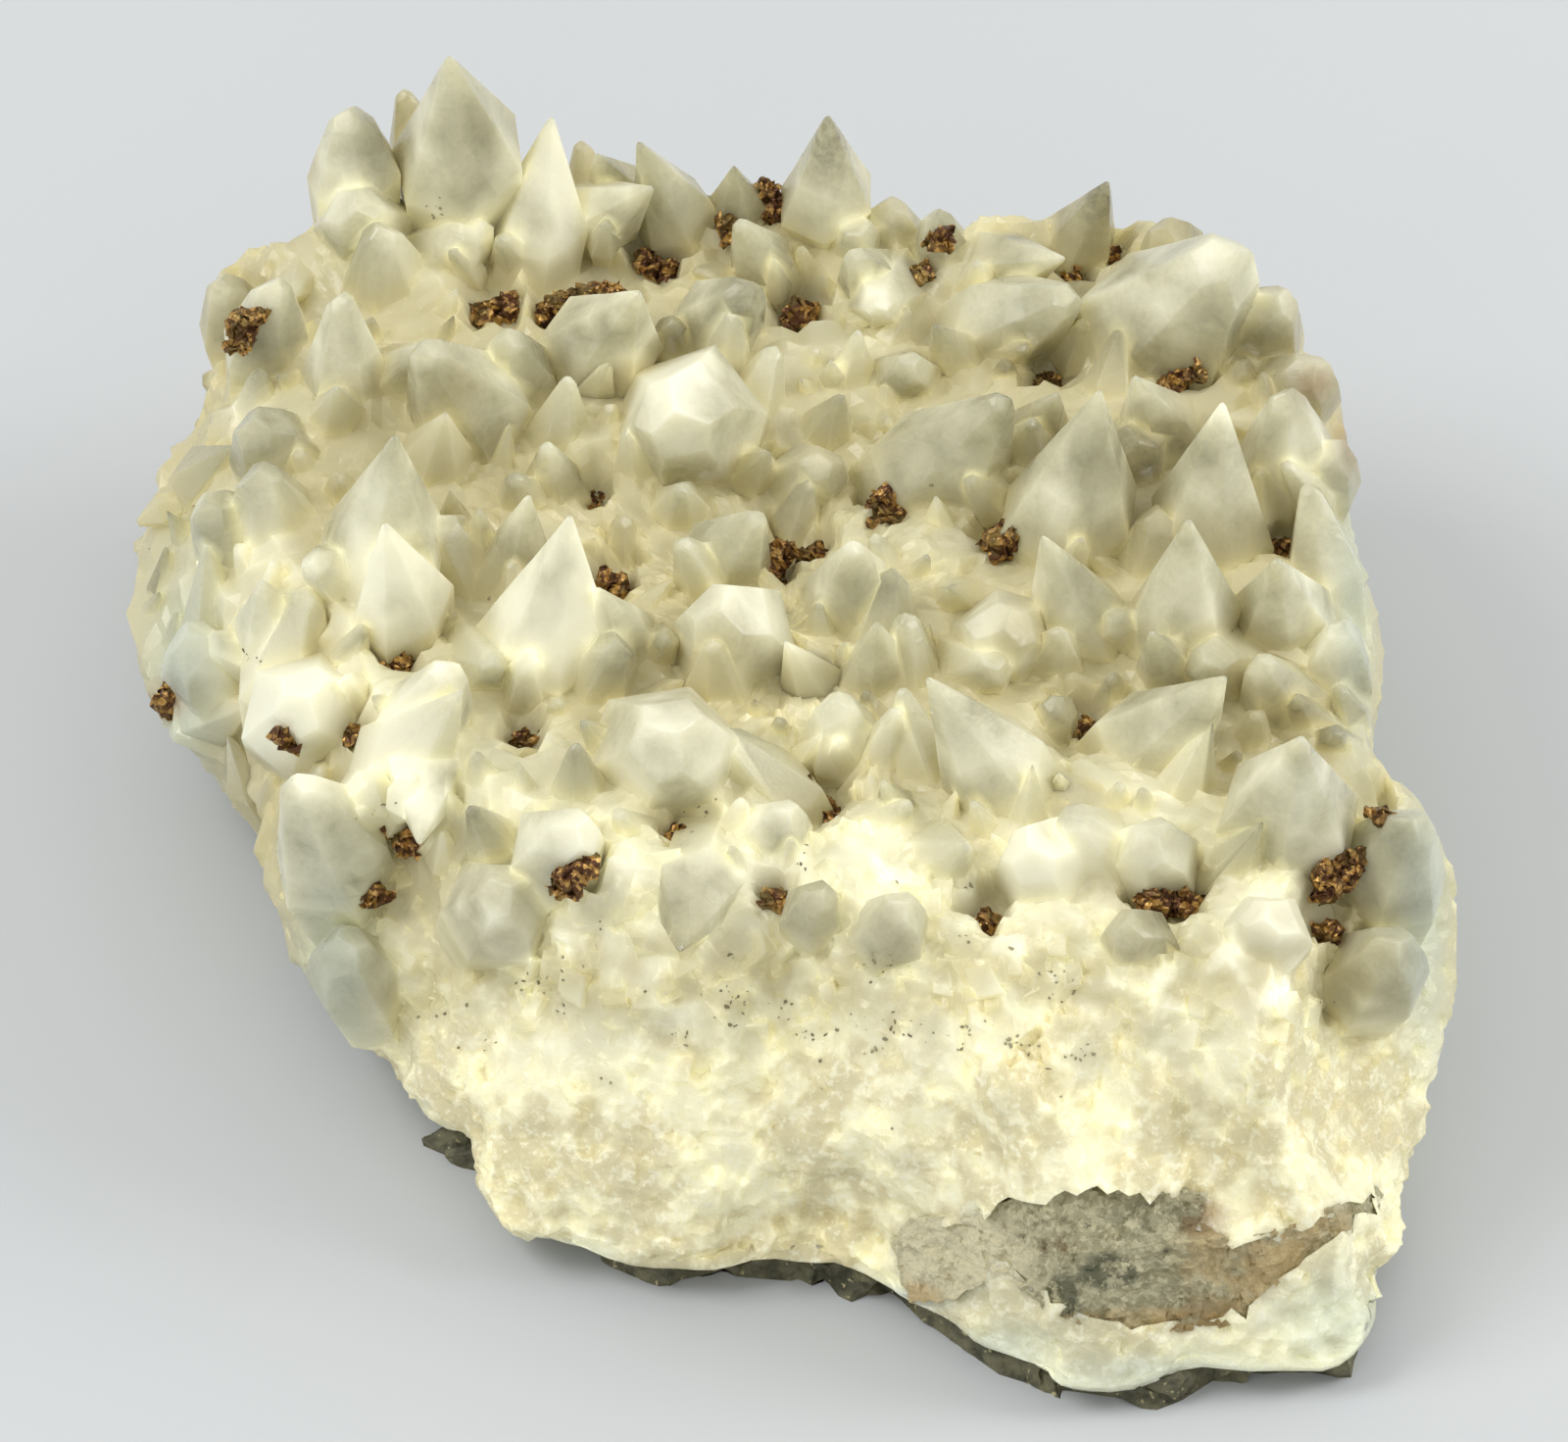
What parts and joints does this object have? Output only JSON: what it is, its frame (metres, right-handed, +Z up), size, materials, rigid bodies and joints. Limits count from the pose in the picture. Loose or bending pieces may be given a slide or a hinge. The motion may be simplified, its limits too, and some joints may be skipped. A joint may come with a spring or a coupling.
{
  "type": "dogtooth calcite crystal cluster on matrix",
  "caption": "Natural cabinet specimen of milky dogtooth calcite crystals on massive vein calcite, with tarnished sulphide grains and grey-green rock, resting on a flat-cut plate of wall rock.",
  "frame": {"origin": "middle of the flat cut underside, under the centre of the specimen's box", "axes": "+Z up from the surface it rests on, -Y towards the broken front face, +X to the right as seen from the front"},
  "size_m": [0.1342, 0.1366, 0.0668],
  "materials": {
    "calcite": "milky translucent, glassy crystal faces",
    "wall_rock": "rough broken rock",
    "rock_inclusion": "rough granular rock",
    "chalcopyrite": "tarnished metallic sulphide"
  },
  "bodies": {
    "root": {"calcite": "calcite", "wall_rock": "wall_rock", "rock_inclusion": "rock_inclusion", "chalcopyrite_01": "chalcopyrite", "chalcopyrite_02": "chalcopyrite", "chalcopyrite_03": "chalcopyrite", "chalcopyrite_04": "chalcopyrite", "chalcopyrite_05": "chalcopyrite", "chalcopyrite_06": "chalcopyrite", "chalcopyrite_07": "chalcopyrite", "chalcopyrite_08": "chalcopyrite", "chalcopyrite_09": "chalcopyrite", "chalcopyrite_10": "chalcopyrite", "chalcopyrite_11": "chalcopyrite", "chalcopyrite_12": "chalcopyrite", "chalcopyrite_13": "chalcopyrite", "chalcopyrite_14": "chalcopyrite", "chalcopyrite_15": "chalcopyrite", "chalcopyrite_16": "chalcopyrite", "chalcopyrite_17": "chalcopyrite", "chalcopyrite_18": "chalcopyrite", "chalcopyrite_19": "chalcopyrite", "chalcopyrite_20": "chalcopyrite", "chalcopyrite_21": "chalcopyrite", "chalcopyrite_22": "chalcopyrite", "chalcopyrite_23": "chalcopyrite", "chalcopyrite_24": "chalcopyrite", "chalcopyrite_25": "chalcopyrite", "chalcopyrite_26": "chalcopyrite", "chalcopyrite_27": "chalcopyrite", "chalcopyrite_28": "chalcopyrite", "chalcopyrite_29": "chalcopyrite", "chalcopyrite_30": "chalcopyrite", "chalcopyrite_31": "chalcopyrite", "chalcopyrite_32": "chalcopyrite", "chalcopyrite_33": "chalcopyrite", "chalcopyrite_34": "chalcopyrite", "chalcopyrite_35": "chalcopyrite", "chalcopyrite_36": "chalcopyrite", "chalcopyrite_37": "chalcopyrite"}
  },
  "joints": []
}
